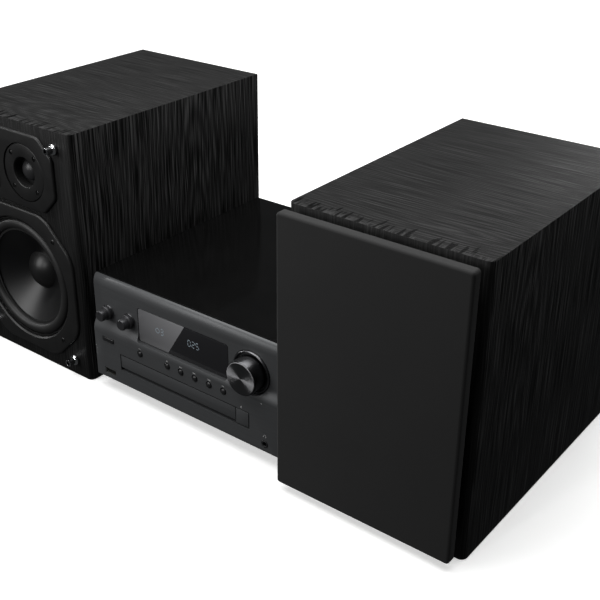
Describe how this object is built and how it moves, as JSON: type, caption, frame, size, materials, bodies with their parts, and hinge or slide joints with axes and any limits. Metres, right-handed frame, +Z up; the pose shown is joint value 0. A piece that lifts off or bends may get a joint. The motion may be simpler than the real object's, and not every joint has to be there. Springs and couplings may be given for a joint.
{
  "type": "mini hifi system",
  "caption": "Compact hifi set: a main unit with disc drawer, display window and metal volume knob between black wood-grain bookshelf speakers; the left grille is off.",
  "frame": {"origin": "on the table, at the middle of the box around the whole set", "axes": "+X to the right as seen from the front, +Y to the rear, +Z up; the front faces -Y"},
  "size_m": [0.5526, 0.263, 0.238],
  "materials": {
    "fascia": "fine-brushed, anodised dark grey",
    "cover_lacquer": "gloss black lacquer",
    "chassis_steel": "zinc plated",
    "black_plastic": "fine grain",
    "display_window": "polished smoked",
    "knob_metal": "spun and anodised dark",
    "bright_trim": "polished edge",
    "button_plastic": "satin",
    "tray_plastic": "satin",
    "gear_plastic": "smooth",
    "circuit_board": "solder resist",
    "sink_aluminium": "extruded",
    "foot_rubber": "matt",
    "cabinet_vinyl": "black wood-grain vinyl on fibreboard",
    "driver_trim": "satin",
    "driver_steel": "black painted",
    "driver_cone": "satin cone with a rubber surround",
    "stud_chrome": "bright plated",
    "grille_frame": "plain moulded",
    "grille_cloth": "fine knitted, stretched"
  },
  "bodies": {
    "main_unit": {"chassis_base": "chassis_steel", "top_cover": "cover_lacquer", "rear_panel": "black_plastic", "front_panel": "fascia", "display_window": "display_window", "display_module": "black_plastic", "volume_ring": "bright_trim", "usb_socket": "chassis_steel", "headphone_jack": "black_plastic", "control_board": "circuit_board", "cd_mechanism": "black_plastic", "main_board": "circuit_board", "power_supply": "circuit_board", "heat_sink": "sink_aluminium", "speaker_terminals": "black_plastic", "ac_inlet": "black_plastic", "audio_jacks": "black_plastic", "foot_front_left": "foot_rubber", "foot_front_right": "foot_rubber", "foot_rear_left": "foot_rubber", "foot_rear_right": "foot_rubber"},
    "volume_knob": {"volume_knob": "knob_metal"},
    "bass_knob": {"bass_knob": "knob_metal"},
    "treble_knob": {"treble_knob": "knob_metal"},
    "power_button": {"power_button": "button_plastic"},
    "source_button": {"source_button": "button_plastic"},
    "stop_button": {"stop_button": "button_plastic"},
    "play_button": {"play_button": "button_plastic"},
    "skip_back_button": {"skip_back_button": "button_plastic"},
    "skip_forward_button": {"skip_forward_button": "button_plastic"},
    "selector_button": {"selector_button": "button_plastic"},
    "eject_button": {"eject_button": "button_plastic"},
    "cd_tray": {"cd_tray": "tray_plastic"},
    "tray_drive_gear": {"tray_drive_gear": "gear_plastic"},
    "disc_turntable": {"disc_turntable": "black_plastic"},
    "laser_sled": {"laser_sled": "chassis_steel"},
    "left_speaker": {"left_cabinet": "cabinet_vinyl", "left_woofer_plate": "driver_trim", "left_woofer_basket": "driver_steel", "left_tweeter_plate": "driver_trim", "left_tweeter": "driver_trim", "left_super_tweeter": "driver_trim", "left_port_tube": "black_plastic", "left_terminal_cup": "black_plastic", "left_grille_stud_inner_low": "stud_chrome", "left_grille_stud_inner_high": "stud_chrome", "left_grille_stud_outer_low": "stud_chrome", "left_grille_stud_outer_high": "stud_chrome"},
    "left_cone": {"left_woofer_cone": "driver_cone"},
    "right_speaker": {"right_cabinet": "cabinet_vinyl", "right_woofer_plate": "driver_trim", "right_woofer_basket": "driver_steel", "right_tweeter_plate": "driver_trim", "right_tweeter": "driver_trim", "right_super_tweeter": "driver_trim", "right_port_tube": "black_plastic", "right_terminal_cup": "black_plastic"},
    "right_cone": {"right_woofer_cone": "driver_cone"},
    "right_grille": {"right_grille_frame": "grille_frame", "right_grille_cloth": "grille_cloth"}
  },
  "joints": [
    {"name": "volume_turn", "type": "hinge", "parent": "main_unit", "child": "volume_knob", "pos_m": [0.076, -0.1095, 0.0813], "axis": [0, 1, 0], "continuous": true},
    {"name": "bass_turn", "type": "hinge", "parent": "main_unit", "child": "bass_knob", "pos_m": [-0.0888, -0.1095, 0.0802], "axis": [0, 1, 0], "range_deg": [-140, 140]},
    {"name": "treble_turn", "type": "hinge", "parent": "main_unit", "child": "treble_knob", "pos_m": [-0.0624, -0.1095, 0.0802], "axis": [0, 1, 0], "range_deg": [-140, 140]},
    {"name": "power_press", "type": "slide", "parent": "main_unit", "child": "power_button", "axis": [0, 1, 0], "range_m": [0, 0.0008], "stiffness_N_per_m": 400},
    {"name": "source_press", "type": "slide", "parent": "main_unit", "child": "source_button", "axis": [0, 1, 0], "range_m": [0, 0.0008], "stiffness_N_per_m": 400},
    {"name": "stop_press", "type": "slide", "parent": "main_unit", "child": "stop_button", "axis": [0, 1, 0], "range_m": [0, 0.0008], "stiffness_N_per_m": 400},
    {"name": "play_press", "type": "slide", "parent": "main_unit", "child": "play_button", "axis": [0, 1, 0], "range_m": [0, 0.0008], "stiffness_N_per_m": 400},
    {"name": "skip_back_press", "type": "slide", "parent": "main_unit", "child": "skip_back_button", "axis": [0, 1, 0], "range_m": [0, 0.0008], "stiffness_N_per_m": 400},
    {"name": "skip_forward_press", "type": "slide", "parent": "main_unit", "child": "skip_forward_button", "axis": [0, 1, 0], "range_m": [0, 0.0008], "stiffness_N_per_m": 400},
    {"name": "selector_press", "type": "slide", "parent": "main_unit", "child": "selector_button", "axis": [0, 1, 0], "range_m": [0, 0.0008], "stiffness_N_per_m": 400},
    {"name": "eject_press", "type": "slide", "parent": "main_unit", "child": "eject_button", "axis": [0, 1, 0], "range_m": [0, 0.001], "stiffness_N_per_m": 400},
    {"name": "tray_slide", "type": "slide", "parent": "main_unit", "child": "cd_tray", "axis": [0, -1, 0], "range_m": [0, 0.135]},
    {"name": "tray_gear_turn", "type": "hinge", "parent": "main_unit", "child": "tray_drive_gear", "pos_m": [-0.04425, -0.089, 0.0312], "axis": [0, 0, 1], "range_deg": [-5, 650]},
    {"name": "disc_spin", "type": "hinge", "parent": "main_unit", "child": "disc_turntable", "pos_m": [-0.00625, -0.0415, 0.038], "axis": [0, 0, 1], "continuous": true},
    {"name": "sled_travel", "type": "slide", "parent": "main_unit", "child": "laser_sled", "axis": [0, 1, 0], "range_m": [-0.003, 0.031]},
    {"name": "left_speaker_place", "type": "slide", "parent": "main_unit", "child": "left_speaker", "axis": [-1, 0, 0], "range_m": [0, 0.3]},
    {"name": "left_cone_travel", "type": "slide", "parent": "left_speaker", "child": "left_cone", "axis": [0, -1, 0], "range_m": [-0.004, 0.004], "stiffness_N_per_m": 900},
    {"name": "right_speaker_place", "type": "slide", "parent": "main_unit", "child": "right_speaker", "axis": [1, 0, 0], "range_m": [0, 0.3]},
    {"name": "right_cone_travel", "type": "slide", "parent": "right_speaker", "child": "right_cone", "axis": [0, -1, 0], "range_m": [-0.004, 0.004], "stiffness_N_per_m": 900},
    {"name": "right_grille_pull", "type": "slide", "parent": "right_speaker", "child": "right_grille", "axis": [0, -1, 0], "range_m": [0, 0.06]}
  ],
  "couplings": [
    {"joint": "tray_gear_turn", "follows": "tray_slide", "rad_per_m": 83.333}
  ]
}
